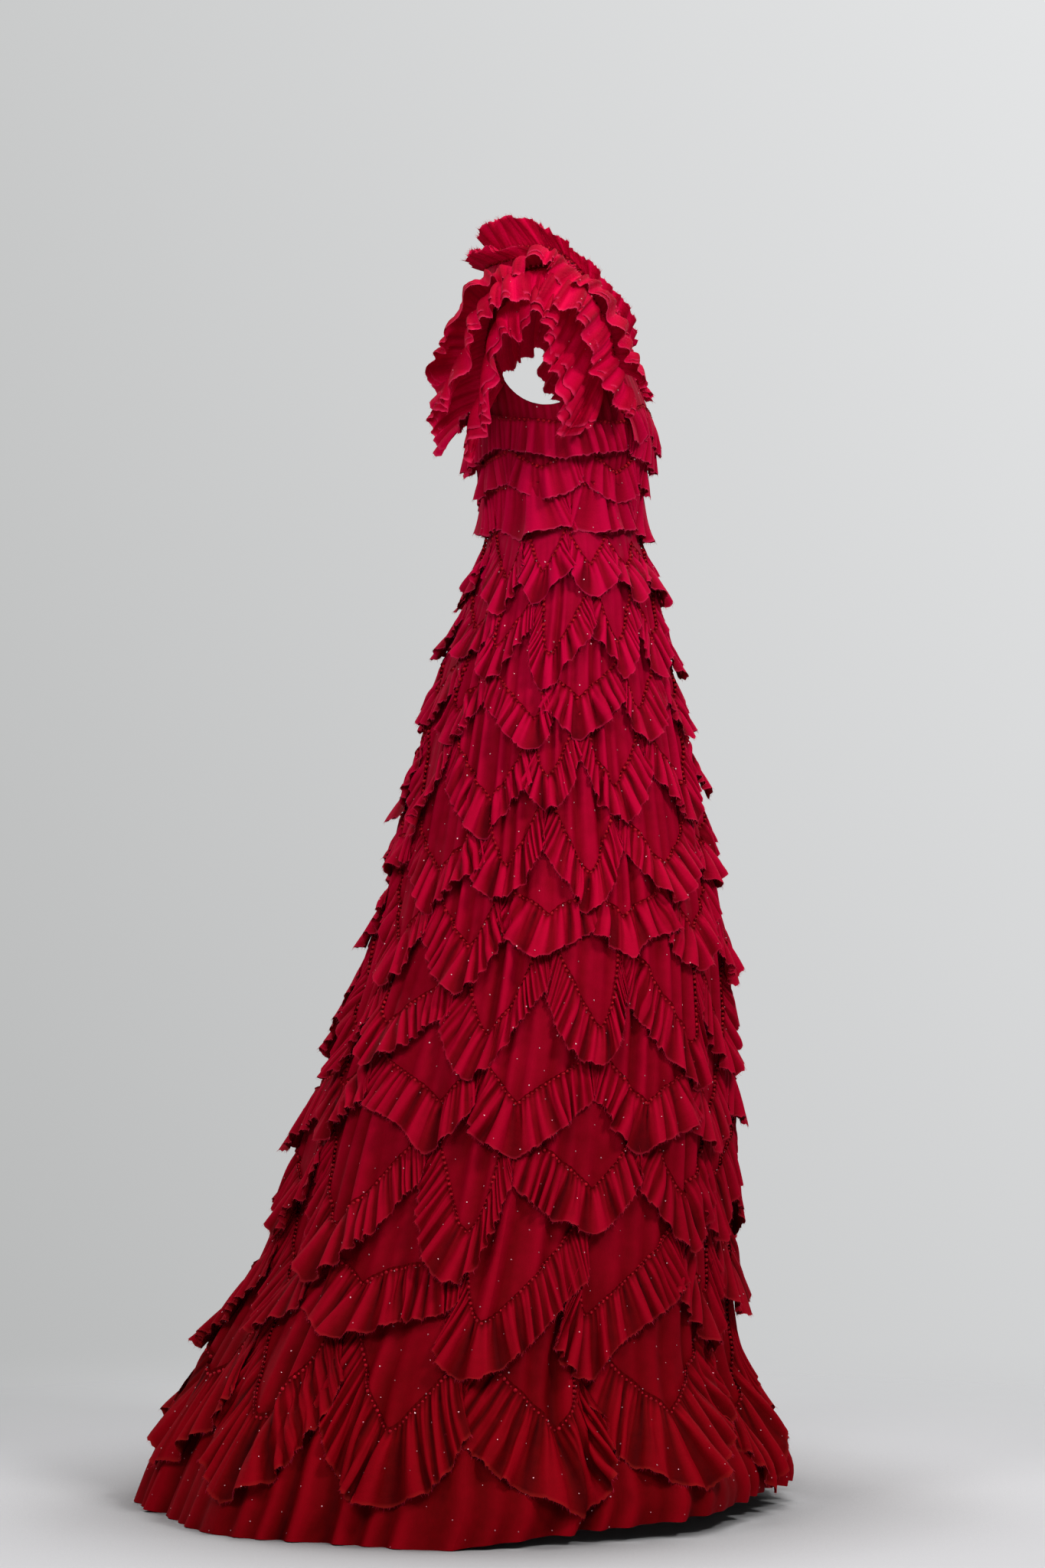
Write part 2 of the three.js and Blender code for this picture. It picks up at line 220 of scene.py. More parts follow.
def mapped(tree, source, span, first=0, last=1, settings=None):
    # the source's span, brought to run from first to last
    return addNode(tree, "ShaderNodeMapRange", settings, {0: source},
                   {1: span[0], 2: span[1], 3: first, 4: last}).outputs[0]


def noise(tree, place, scale, detail=2):
    return addNode(tree, "ShaderNodeTexNoise", links={"Vector": place},
                   values={"Scale": scale, "Detail": detail}).outputs[0]


def weighed(tree, source, weight, added):
    return addNode(tree, "ShaderNodeMath", {"operation": "MULTIPLY_ADD"},
                   {0: source, 2: added}, {1: weight}).outputs[0]


def towards(tree, share, colour, goal):
    return addNode(tree, "ShaderNodeMix", {"data_type": "RGBA"},
                   {0: share, 6: colour}, {7: linear(goal)}).outputs[2]


def newMaterial(name, values):
    # with its tree, its shader, and where in the room each point lies
    material = bpy.data.materials.new(name)
    material.use_nodes = True
    tree = material.node_tree
    shader = tree.nodes["Principled BSDF"]
    for key, value in values.items():
        shader.inputs[key].default_value = value
    return material, tree, shader, addNode(tree, "ShaderNodeTexCoord").outputs["Object"]


# Gathered net: polyamide tulle, knitted in small hexagons and piece dyed. Each layer lets some light
# through, so the colours carry painted shade in fold troughs and painted light on crests, and single
# layers at an edge look pink, partly a painted highlight.
netFinish = {
    # painted shade and light: the trough colour goes into fold troughs and the crest colour onto crests
    "dyes": {  # trough, middle, crest and raw edge
        "skirt": ("#380006", "#88001C", "#BC003A", "#CC1C54"),
        "top": ("#780014", "#A80028", "#C8003C", "#DC3466"),
    },
    "dyeSteps": (0.12, 0.5, 0.9),
    "toneSpan": (0.1, 1.5),
    # painted shade from the seam down and a painted highlight at the raw edge, each partly the net's
    # own look there
    "seam": "#6C000C",
    "seamShare": 0.14,  # of a ruffle's fall, dark from the seam down
    "seamStrength": 0.7,
    "edgeShare": 0.05,  # pale up from its raw edge
    "edgeStrength": 0.5,
    # painted shade: the red deepens from the white tint at the top to a darker red towards the hem
    "hemShadeSteps": [(0.1, "#BAFF5E"), (0.55, "#F4FFCA"), (0.9, "#FFFFFF")],
    "hemShadeSpan": (-1.5, -0.15),
    "shader": {"Roughness": 0.72, "Specular IOR Level": 0.03, "Sheen Weight": 0.03,
               "Sheen Roughness": 0.45},
    "sheenTint": "#E01040",
    "clouds": (11, 0.5),  # to the metre, and how strong
    "layers": (70, 0.3),
    "meshPitch": 2.6,  # the real holes are about 1 mm, drawn coarser so that they show
    "meshWeight": 0.3,
    "crinklePitch": 9,
    "crinkleStretch": (0.25, 1, 1),
    "gatherPitch": 8,
    "gatherStretch": (1, 0.09, 1),
    "gatherWeight": 1.3,
    "relief": 0.002,
    "paintedGlow": "#D00030",
}


def netMaterial(name, part, brightness, crinkle, paintedGlow=0.0):
    *dyes, edge = netFinish["dyes"][part]
    material, tree, shader, place = newMaterial(name, {
        **netFinish["shader"],
        "Sheen Tint": linear(netFinish["sheenTint"]),
        # painted light: a faint red glow stands in for the light that comes through the open layers,
        # and fills the shade of their folds
        "Emission Color": linear(netFinish["paintedGlow"]),
        "Emission Strength": paintedGlow,
    })
    fold, fall = (addNode(tree, "ShaderNodeAttribute", {"attribute_name": fact}).outputs["Fac"]
                  for fact in ("fold", "fall"))
    cut = addNode(tree, "ShaderNodeUVMap", {"uv_map": "cut"}).outputs[0]
    # the fold fact gives painted shade in troughs and painted light on crests; on it the dye's depth
    # wanders softly over a hand's width, and more finely where layers lie together
    (clouds, cloudWeight), (layers, layerWeight) = netFinish["clouds"], netFinish["layers"]
    depth = weighed(tree, noise(tree, place, clouds, 3), cloudWeight, fold)
    depth = weighed(tree, noise(tree, place, layers), layerWeight, depth)
    tone = mapped(tree, depth, netFinish["toneSpan"])
    colour = colourSteps(tree, tone, zip(netFinish["dyeSteps"], dyes))
    # the raw edge is one layer thick and paler, with a painted highlight; the seam is packed tight and
    # dark, with painted shade from it down
    rim = mapped(tree, fall, (1 - netFinish["edgeShare"], 1), last=netFinish["edgeStrength"])
    colour = towards(tree, rim, colour, edge)
    packedSeamShade = mapped(tree, fall, (netFinish["seamShare"], 0), last=netFinish["seamStrength"])
    colour = towards(tree, packedSeamShade, colour, netFinish["seam"])
    bright = addNode(tree, "ShaderNodeHueSaturation", links={"Color": colour},
                     values={"Value": brightness})
    # painted shade: the net grows darker towards the hem
    height = addNode(tree, "ShaderNodeSeparateXYZ", links={0: place}).outputs[2]
    hemShadeColour = colourSteps(tree, mapped(tree, height, netFinish["hemShadeSpan"]), netFinish["hemShadeSteps"])
    deepened = addNode(tree, "ShaderNodeMix", {"data_type": "RGBA", "blend_type": "MULTIPLY"},
                       {6: bright.outputs[0], 7: hemShadeColour}, {0: 1})
    tree.links.new(deepened.outputs[2], shader.inputs["Base Color"])
    # net holes, soft crosswise crinkles from packing, and fine gathers that run down from the seam
    holes = addNode(tree, "ShaderNodeTexVoronoi", links={"Vector": cut},
                    values={"Scale": 1000 / netFinish["meshPitch"]}).outputs[0]
    across, down = (addNode(tree, "ShaderNodeMapping", links={0: cut},
                            values={3: netFinish[stretch]}).outputs[0]
                    for stretch in ("crinkleStretch", "gatherStretch"))
    crinkles = noise(tree, across, 1000 / netFinish["crinklePitch"])
    gathers = noise(tree, down, 1000 / netFinish["gatherPitch"], 1)
    relief = weighed(tree, holes, netFinish["meshWeight"], crinkles)
    relief = weighed(tree, gathers, netFinish["gatherWeight"], relief)
    bump = addNode(tree, "ShaderNodeBump", links={"Height": relief},
                   values={"Strength": crinkle, "Distance": netFinish["relief"]})
    tree.links.new(bump.outputs[0], shader.inputs["Normal"])
    return material


trimFinishes = {
    # tiny glued flakes of metallised film, cut from foil, so they flash pale pink
    "metallised_foil_flakes": {
        "specklesPerMetre": 160,
        "dyes": [(0.4, "#C8707F"), (0.6, "#EEC0C4")],
        "shader": {"Metallic": 0.6, "Roughness": 0.5},
    },
    # the tulle itself, packed tight on the gathering thread, so it looks dark and matt
    "tulle_packed_on_thread": {
        "specklesPerMetre": 220,
        "dyes": [(0.35, "#780010"), (0.65, "#B80A22")],
        "shader": {"Roughness": 0.6, "Specular IOR Level": 0.1},
    },
    # clear dyed polyamide cut through at the raw edge, so each thread is paler than the cloth
    "cut_polyamide_threads": {
        "specklesPerMetre": 90,
        "dyes": [(0.35, "#98001C"), (0.65, "#C82048")],
        "shader": {"Roughness": 0.55, "Specular IOR Level": 0.15},
    },
}


def trimMaterial(name):
    finish = trimFinishes[name]
    material, tree, shader, place = newMaterial(name, finish["shader"])
    speckles = noise(tree, place, finish["specklesPerMetre"])
    tree.links.new(colourSteps(tree, speckles, finish["dyes"]), shader.inputs["Base Color"])
    return material


panelNet = netMaterial("layered_tulle_over_slip", "skirt", 1.0, 0.15)
ruffleNet = netMaterial("gathered_tulle", "skirt", 1.0, 0.3)
# the last number is the strength of a faint painted glow, standing in for light through the net
bodiceRuffleNet = netMaterial("gathered_bodice_tulle", "top", 0.8, 0.35, 0.02)
sleeveNet = netMaterial("crinkled_tulle", "top", 0.96, 0.75, 0.09)
bodiceNet = netMaterial("bodice_tulle", "top", 0.72, 0.2)
flakes, packedNet, cutThreads = (trimMaterial(name) for name in trimFinishes)
print("gown: materials made")


skirtCloth = {
    "columns": 210,
    "rows": 142,
    "creaseDepth": 5.5,
    "hemDeepening": 0.9,
    "deepeningFrom": 260,
    "creaseFadeFrom": 1195,
    "creaseFadeOver": 260,
    "creaseFade": 0.7,
    "creases": [(37, 0.9, 0.0042), (53, 2.2, -0.0021), (71, 4.0, 0.0055)],  # count, phase, drift
    "wanders": [(1.1, 3, 170), (0.6, 5, -90)],  # how far, how often around, over what height
    "uneven": (0.35, 7, 120, 1.3),
    "shade": (0.6, 0.055),
    "cutPerRadian": 0.4,
}


def wandering(cloth, angle, height):
    return sum(far * np.sin(often * angle + height / over) for far, often, over in cloth["wanders"])


def creases(angle, height):
    # soft folds of the plain net, uneven in length, depth and spacing
    fade = (skirtCloth["creaseFadeFrom"] - height) / skirtCloth["creaseFadeOver"]
    strength = np.clip(fade, 0, 1) ** skirtCloth["creaseFade"]
    wander = wandering(skirtCloth, angle, height)
    total = sum(np.cos(count * angle + phase + drift * height + wander)
                for count, phase, drift in skirtCloth["creases"])
    share, often, over, phase = skirtCloth["uneven"]
    uneven = 1 - share + share * np.cos(often * angle + height / over + phase)
    deeper = 1 + skirtCloth["hemDeepening"] * np.clip(1 - height / skirtCloth["deepeningFrom"], 0, 1)
    return skirtCloth["creaseDepth"] * strength * uneven * deeper * total / 2


def panel(node, cloth, grid, angle, height, crease, keep=None):
    cut = np.stack(np.broadcast_arrays(angle * cloth["cutPerRadian"], -height / 1000), -1)
    plain, deep = cloth["shade"]
    # painted shade and light: the fold fact follows the creases, darker in their hollows and lighter on
    # their crests
    facts = {"fold": plain + deep * crease, "fall": 0.5}
    return gridPiece(node + "_net", grid, cut, facts, keep=keep)


def skirtHalf(node, first, last):
    columns, rows = skirtCloth["columns"], skirtCloth["rows"]
    angle = np.linspace(math.radians(first), math.radians(last), columns + 1)[None, :]
    top = gownForm["waistHeight"] - gownForm["seamGap"]
    down = np.linspace(0, 1, rows + 1)[:, None]
    hem = gownForm["frontHemLift"] * np.clip(np.cos(angle), 0, None) ** gownForm["hemLiftCurve"]
    height = top + (hem - top) * down
    crease = creases(angle, height)
    grid = offSkin(angle, height, crease)
    piece = panel(node, skirtCloth, grid, angle, height, crease)
    dressed(piece, panelNet, "skirt_tulle", node)
    return piece


skirtPanels = [skirtHalf("skirt_front", -90, 90), skirtHalf("skirt_back", 90, 270)]
print("gown: skirt panels hung")


gathering = {
    "pitch": 7.5,  # one gather on the seam line
    "stepsPerGather": 4,
    "gatherWidths": (0.7, 1.3),
    "falls": np.array([-0.06, -0.02, 0.02, 0.08, 0.16, 0.26, 0.37, 0.49, 0.61, 0.73, 0.85, 0.94, 1.0]),
    "headerLift": 2.4,
    "pucker": 1.1,
    "midFold": 0.9,
    "midFoldGrowth": (0.3, 2.6),
    "flutePitch": (9, 0.11),  # a flute's width: this much, and this share of the ruffle's depth
    "valleyPitch": (0.75, 0.95),  # its width on a V's arm, and what a valley adds
    "fluteHeight": 0.27,  # beside its width
    "fluteWidths": (0.5, 1.6),
    "fluteSizes": (0.5, 1.3),
    "sharpness": 1.2,
    "billowPitch": 62,
    "billow": 0.06,
    "earlyFlute": 0.3,  # how much of a narrow flute starts right at the seam
    "driftPitch": 90,  # flutes lean together, one way and then the other
    "drift": 0.3,
    "longWidths": (0.5, 1.5),  # of billows and drifts
    "least": 0.4,  # room under the net
    "tipCalm": (0.35, 0.45),
    "fray": 1.6,
    "fullness": 1.75,
    "shade": (0.55, 0.4),
    "areaShare": 0.95,  # of the mesh beside its flat size
    # how flutes open below the seam, how gathers fade, and how far crests swell sideways
    "sewn": {"opening": 0.75, "gatherFade": 0.6, "midFade": 0.6, "loop": 0.34},
    "hung": {"opening": 1.15, "gatherFade": 0.9, "midFade": 1, "loop": 0.1},
}


def unevenSteps(count, widths, dice):
    widths = dice.uniform(*widths, count)
    return np.concatenate([[0], np.cumsum(widths)]) / widths.sum()


def between(at, values):
    # the values at whole steps, read anywhere between them
    return np.interp(at, np.arange(len(values)), values)


def headerLift(fall):
    # the small heading above a seam stands off a little
    return gathering["headerLift"] * np.clip(-fall, 0, 1) / -gathering["falls"][0]


def tipCalm(apart):
    # gathers and flutes grow calm where two arms meet at a tip
    least, over = gathering["tipCalm"]
    return least + (1 - least) * np.clip((1 - 2 * np.abs(apart)) / over, 0, 1) ** 0.8


def valleyShare(apart):
    return (1 + np.cos(turn * apart)) / 2


def longWave(share, length, pitch, dice):
    # slow uneven waves along the seam
    count = max(3, round(length / pitch))
    steps = unevenSteps(count, gathering["longWidths"], dice)
    return turn * np.interp(share, steps, np.arange(count + 1))


def gathered(base, length, depth, dice, ring, apartAt=None, tier=None):
    # base(share, fall) gives the calm sheet and its room above what lies under it, and
    # apartAt(share) how far along its V each place is, from 0 in the valley to a half at the tip
    kind = gathering["hung" if tier else "sewn"]
    gathers = max(8, round(length / gathering["pitch"]))
    steps = gathering["stepsPerGather"]
    count = gathers * steps + (0 if ring else 1)
    phase = np.arange(count) / steps
    seamSteps = unevenSteps(gathers, gathering["gatherWidths"], dice)
    share = between(phase, seamSteps)
    fall = gathering["falls"][:, None]
    sheet, room = base(share[None, :], fall)
    below = np.gradient(sheet, axis=0)
    if ring:
        along = np.roll(sheet, -1, 1) - np.roll(sheet, 1, 1)
    else:
        along = np.gradient(sheet, axis=1)
    along = unit(along)
    away = unit(np.cross(below, along))
    down = np.clip(fall, 0, 1)
    calmness = np.ones(count) if tier else tipCalm(apartAt(share))
    # flutes are narrow and sharp on the arms of a V, and wide and soft in its valley
    dense = np.linspace(0, 1, 3001)
    softness = np.ones(3001) if tier else valleyShare(apartAt(dense))
    least, depthShare = gathering["flutePitch"]
    wide = tier["flutePitch"] if tier else least + depthShare * depth
    narrow, wider = (1, 0) if tier else gathering["valleyPitch"]
    pitch = wide * (narrow + wider * softness**2)
    turns = np.cumsum(np.diff(dense) * length / ((pitch[1:] + pitch[:-1]) / 2))
    turns = np.concatenate([[0], turns])
    flutes = max(3, round(turns[-1]))
    warp = unevenSteps(flutes, gathering["fluteWidths"], dice)
    turns = np.interp(turns / turns[-1], warp, np.arange(flutes + 1))
    turns = np.interp(share, dense, turns)
    sizes = dice.uniform(*gathering["fluteSizes"], flutes + 1)
    sizes[-1] = sizes[0]
    size = between(turns, sizes) * calmness
    soft = np.interp(share, dense, softness) ** 1.5
    pitch = wide * (narrow + wider * soft)
    high = (tier["fluteHeight"] if tier else gathering["fluteHeight"] * pitch) * size
    early = gathering["earlyFlute"] * (1 - soft) * (fall > 0)
    flute = high * (early + (1 - early) * down ** kind["opening"])
    # round crests and sharp troughs
    sharp = 2 * np.abs(np.cos(math.pi * turns)) ** gathering["sharpness"] - 1
    wave = soft * np.cos(turn * turns) + (1 - soft) * sharp
    billow = np.cos(longWave(share, length, gathering["billowPitch"], dice))
    billow = gathering["billow"] * depth * down * billow * calmness
    fine = gathering["pucker"] * (1 - kind["gatherFade"] * down) * np.cos(turn * phase)
    first, more = gathering["midFoldGrowth"]
    middle = gathering["midFold"] * (first + more * down * (1 - kind["midFade"] * down)) * calmness
    middle = middle * np.cos(turn * phase / 2 + 1.7 * np.sin(turns))
    move = flute * wave + fine + middle + billow
    room = np.maximum(room, gathering["least"])
    move = np.where(move < 0, -room * np.tanh(-move / room), move)
    # crests and troughs swell sideways, so a flute's sides stand steep
    swell = kind["loop"] * pitch / turn * down**0.6 * np.sin(2 * turn * turns) * size
    drift = np.sin(longWave(share, length, gathering["driftPitch"], dice))
    swell = swell + gathering["drift"] * wide * down**1.5 * drift * calmness
    grid = sheet + away * move[..., None] + along * swell[..., None]
    ragged = dice.uniform(-1, 1, count) * gathering["fray"]
    grid[-1] += unit(below[-1]) * ragged[:, None]
    # painted shade and light: the fold fact is low in the flutes' troughs and high on their crests
    plain, deep = gathering["shade"]
    fold = plain + deep * (flute * wave + fine + 0.6 * middle) / np.maximum(flute, 1.5)
    cut = np.stack(np.broadcast_arrays(share[None, :] * length * gathering["fullness"] / 1000,
                                       fall * depth / 1000), -1)
    return grid, cut.copy(), {"fold": fold, "fall": fall}


def distances(points):
    # how far along the line each of its points lies
    return np.concatenate([[0], np.cumsum(np.linalg.norm(np.diff(points, axis=0), axis=1))])


seamLines, rawEdges, ruffles = (
    {part: [] for part in ("skirt", "bodice", "shoulders")} for _ in range(3))


def ruffleSheet(name, part, made, material, ring, turned=False, under=False):
    grid, cut, facts = made
    rawEdges[part].append((grid[-1], unit(grid[-1] - grid[-3])))
    piece = gridPiece(name + ("_underlayer" if under else "_gathers"), grid, cut, facts, ring, turned)
    dressed(piece, material, "ruffle_tulle", *([] if under else [name]))
    ruffles[part].append(piece)


# The skirt's rows of Vs, from the hem up. The tips of one row meet the valleys of the next.
skirtLattice = {
    "columns": 12,
    "rows": 11,
    "middle": 0,  # in degrees from the front, and how far to each side
    "reach": 180,
    "lowestValley": 140,
    "spacing": 122,
    "spacingShrink": 5,
    "tipGap": 16,
    "depths": [98, 70, 64, 59, 55, 52, 49, 47, 45, 43, 42],
    "liftPerDepth": 0.34,
    "lowestLiftPerDepth": 0.12,
    "peakLift": 0.25,
    "ownHang": 0.65,  # how far a free edge leaves the creases that it lies on
    "lowestOwnHang": 0.3,
    "wanderAround": 0.12,
    "wanderUp": 30,
    "spread": 0.34,
    "roundness": 1.2,
    "lowestWander": 0.6,
    "highestWander": 0.3,
    "calmRows": (3, 0.6),  # this many at the top wander up less
    "seed": 11,
}

# how all Vs hang, where lengths are shares of the ruffle's depth
hanging = {
    "seamLift": 1.2,  # in millimetres
    "armLift": 0.8,
    "depths": (0.82, 1.15),
    "lifts": (0.6, 1.2),
    "sway": 0.2,
    "armDepth": 0.84,
    "valleyDepth": 0.14,
    "lean": (0.8, 0.2),  # over this much of an arm it grows, and over the rest it fades
    "overlap": 0.055,  # where two arms meet, one lies over the other
}


def zigzag(row, dice, part, material):
    # one row of ruffle sewn on in Vs: all round where its reach is 180 degrees
    middle, reachAngle = math.radians(row["middle"]), math.radians(row["reach"])
    ring, depth = row["reach"] == 180, row["depth"]
    dense = np.linspace(middle - reachAngle, middle + reachAngle, 2401)

    def seamAt(angle):
        v = row["columns"] * angle / turn - row["phase"]
        nearest = np.round(v)
        apart = v - nearest
        side = np.where(apart >= 0, 1, -1)
        to = (2 * np.abs(apart)) ** row["roundness"]
        valleyNode = np.mod(2 * nearest + 2 * row["phase"], 2 * row["columns"]).astype(int)
        peakNode = np.mod(valleyNode + side, 2 * row["columns"]).astype(int)
        soft = (to * to * (3 - 2 * to))[..., None]
        low, high = row["jitter"]
        moved = (1 - soft) * low[valleyNode] + soft * high[peakNode]
        return apart, angle + moved[..., 0], row["valley"] + row["rise"] * to + moved[..., 1]

    apart, around, up = seamAt(dense)
    line = offSkin(around, up, 1.0)
    run = distances(line)
    length = run[-1]
    falls = dice.uniform(*hanging["depths"], 4 * row["columns"] + 1)
    sways = dice.uniform(-1, 1, 6 * row["columns"] + 1)
    lifts = dice.uniform(*hanging["lifts"], 4 * row["columns"] + 1)
    for values in (falls, sways, lifts):
        values[-1] = values[0]

    def base(share, fall):
        angle = np.interp(share * length, run, dense)
        apart, around, up = seamAt(angle)
        turned = np.clip((angle - middle) / (2 * reachAngle) + 0.5, 0, 1) * 4 * row["columns"]
        uneven, heave = between(turned, falls), between(turned, lifts)
        sway = between(1.5 * turned, sways)
        flare = valleyShare(apart)
        slant = np.sin(turn * apart) ** 2
        down = np.clip(fall, 0, 1)
        to = 2 * np.abs(apart)
        most, rest = hanging["lean"]
        lean = np.sin(turn / 4 * np.clip(to / most, 0, 1) ** 0.8)
        lean = np.sign(apart) * (lean * np.clip((1 - to) / rest, 0, 1))
        swing = depth * down * (row["spread"] * lean + hanging["sway"] * sway)
        aside = swing / reach("side", up)
        drop = depth * uneven * fall
        drop = drop * (hanging["armDepth"] + hanging["valleyDepth"] * flare)
        height = up - drop
        opened = row["peakLift"] + (1 - row["peakLift"]) * flare
        lift = depth * row["liftPerDepth"] * heave * down**0.75 * opened
        settle = creases(around + aside, height) * (1 - row["ownHang"] * down)
        lift = lift + depth * hanging["overlap"] * lean * down
        total = hanging["seamLift"] + hanging["armLift"] * slant + lift + headerLift(fall)
        return offSkin(around + aside, height, total + settle), lift + 0.5

    def apartAt(share):
        return seamAt(np.interp(share * length, run, dense))[0]

    made = gathered(base, length, depth, dice, ring, apartAt)
    name = row["name"].removesuffix("_second")
    ruffleSheet(name, part, made, material, ring, under=name != row["name"])
    seam = np.linspace(0, 1, max(12, int(length / 4)))
    seamLines[part].append(base(seam[None, :], np.zeros((1, 1)))[0][0])


def skirtRuffles():
    dice = np.random.default_rng(skirtLattice["seed"])
    columns, rows = skirtLattice["columns"], skirtLattice["rows"]
    jitter = dice.uniform(-1, 1, (rows + 1, 2 * columns, 2))
    jitter *= [skirtLattice["wanderAround"], skirtLattice["wanderUp"]]
    jitter[0] *= skirtLattice["lowestWander"]
    jitter[rows] *= skirtLattice["highestWander"]
    calm, share = skirtLattice["calmRows"]
    jitter[rows - calm:rows, :, 1] *= share
    valley = skirtLattice["lowestValley"]
    for k in range(rows):
        spacing = skirtLattice["spacing"] - skirtLattice["spacingShrink"] * k
        zigzag({
            **skirtLattice,
            "name": "skirt_ruffle_%02d" % (k + 1),
            "valley": valley,
            "rise": spacing - skirtLattice["tipGap"],
            "depth": skirtLattice["depths"][k],
            "liftPerDepth": skirtLattice["liftPerDepth" if k else "lowestLiftPerDepth"],
            "ownHang": skirtLattice["ownHang" if k else "lowestOwnHang"],
            "phase": (k + 1) % 2 / 2,
            "jitter": jitter[k:k + 2],
        }, dice, "skirt", ruffleNet)
        valley += spacing


skirtRuffles()
print("gown: skirt ruffles gathered")


bodiceCloth = {
    "columns": 240,
    "rows": 90,
    "top": 1550,
    "armhole": (2, 1418, 62, 72),  # middle along Y, height, half depth, half height
    "armholeFrom": 100,
    "neckline": np.array([(1424, 0), (1462, 28), (1500, 50), (1532, 62), (1560, 72)], float),
    "creases": [(0.9, 60, 1), (0.5, 97, -1.7)],  # depth, count, how they bend
    "wanders": [(2, 5, 60), (1, 9, -35)],
    "shade": (0.4, 0.25),
    "cutPerRadian": 0.14,
}


def bodiceCreases(angle, height):
    # the net is gathered over the bodice in fine soft folds
    wander = wandering(bodiceCloth, angle, height)
    return sum(deep * np.cos(count * angle + bend * wander)
               for deep, count, bend in bodiceCloth["creases"])


def bodiceHalf(node, first, last):
    columns, rows = bodiceCloth["columns"] // 2, bodiceCloth["rows"]
    angle = np.linspace(math.radians(first), math.radians(last), columns + 1)[None, :]
    height = np.linspace(bodiceCloth["top"], gownForm["waistHeight"], rows + 1)[:, None] + 0 * angle
    angle = angle + 0 * height
    crease = bodiceCreases(angle, height)
    grid = offSkin(angle, height, crease)
    x, y, z = (grid[..., k] for k in range(3))
    middle, level, halfDepth, halfHeight = bodiceCloth["armhole"]
    out = np.hypot((y - middle) / halfDepth, (z - level) / halfHeight)
    inArm = (out < 1) & (np.abs(x) > bodiceCloth["armholeFrom"])
    half = np.interp(z, *bodiceCloth["neckline"].T)
    inNeck = (np.abs(x) < half) & (z > bodiceCloth["neckline"][0, 0]) & (y < 0)
    hole = inArm | inNeck
    corners = [hole[:-1, :-1], hole[1:, :-1], hole[1:, 1:], hole[:-1, 1:]]
    keep = ~np.logical_and.reduce(corners)
    # points inside an opening move out to its edge
    scale = np.maximum(out, 0.05)
    y[inArm] = (middle + (y - middle) / scale)[inArm]
    z[inArm] = (level + (z - level) / scale)[inArm]
    x[inNeck] = (np.sign(x + 1e-6) * half)[inNeck]
    piece = panel(node, bodiceCloth, grid, angle, height, crease, keep)
    dressed(piece, bodiceNet, "bodice_tulle", node)
    return piece


bodicePanels = [bodiceHalf("bodice_front", -90, 90), bodiceHalf("bodice_back", 90, 270)]

# Valley is the lowest point of the seam, rise the height of each V, and the middle and reach say
# where round the body the row lies, in degrees from the front.
bodiceKeys = ("valley", "rise", "depth", "liftPerDepth", "columns", "middle", "reach")
bodiceRows = {
    "waist_ruffle": (1248, 0, 63, 0.13, 6, 0, 180),
    "bodice_ruffle": (1278, 28, 42, 0.26, 7, 0, 180),
    "chest_ruffle": (1313, 24, 42, 0.34, 4, 0, 180),
    "chest_ruffle_second": (1347, 12, 38, 0.4, 7, 0, 50),
    "back_ruffle_lower": (1362, 30, 44, 0.34, 8, 180, 32),
    "back_ruffle_middle": (1432, 26, 44, 0.34, 8, 180, 28),
    "back_ruffle_upper": (1488, 16, 40, 0.34, 8, 180, 28),
}
bodiceLattice = {
    "wander": (0.09, 12),  # around in radians, and up
    "ownHang": 0.65,
    "peakLift": 0.3,
    "spread": 0.3,
    "roundness": 1.2,
    "seed": 23,
}


def bodiceRuffles():
    dice = np.random.default_rng(bodiceLattice["seed"])
    for name, sizes in bodiceRows.items():
        row = {**bodiceLattice, **dict(zip(bodiceKeys, sizes)), "name": name}
        row["jitter"] = dice.uniform(-1, 1, (2, 2 * row["columns"], 2)) * row["wander"]
        row["phase"] = 0 if row["middle"] == 0 else row["columns"] / 2
        zigzag(row, dice, "bodice", bodiceRuffleNet)


bodiceRuffles()
print("gown: bodice made")


# Each hangs between a seam line on the gown, at angles from the front and heights, and its free
# edge: out to the side, to the back, and the height.
neckTiers = {
    "collar_ruffle": {
        "waves": 10, "wave": 4, "bulge": 0, "flutePitch": 14, "fluteHeight": 4.6, "spreads": 1.05,
        "seam": [(0, 1414), (12, 1455), (22, 1494), (37, 1520), (62, 1538), (90, 1542), (135, 1542),
                 (180, 1542)],
        "freeEdge": [(0, -108, 1436), (34, -90, 1480), (60, -56, 1518), (76, -26, 1542),
                     (86, 6, 1566), (85, 36, 1578), (62, 66, 1574), (0, 82, 1566)],
    },
    "neck_ruffle": {
        "waves": 6, "wave": 5, "bulge": 0, "flutePitch": 17, "fluteHeight": 5.2, "spreads": 1.1,
        "seam": [(0, 1392), (15, 1434), (26, 1474), (44, 1504), (64, 1520), (90, 1525), (135, 1525),
                 (180, 1524)],
        "freeEdge": [(0, -124, 1360), (36, -112, 1404), (66, -92, 1450), (96, -62, 1490),
                     (116, -26, 1520), (124, 16, 1537), (84, 80, 1543), (0, 98, 1538)],
    },
}
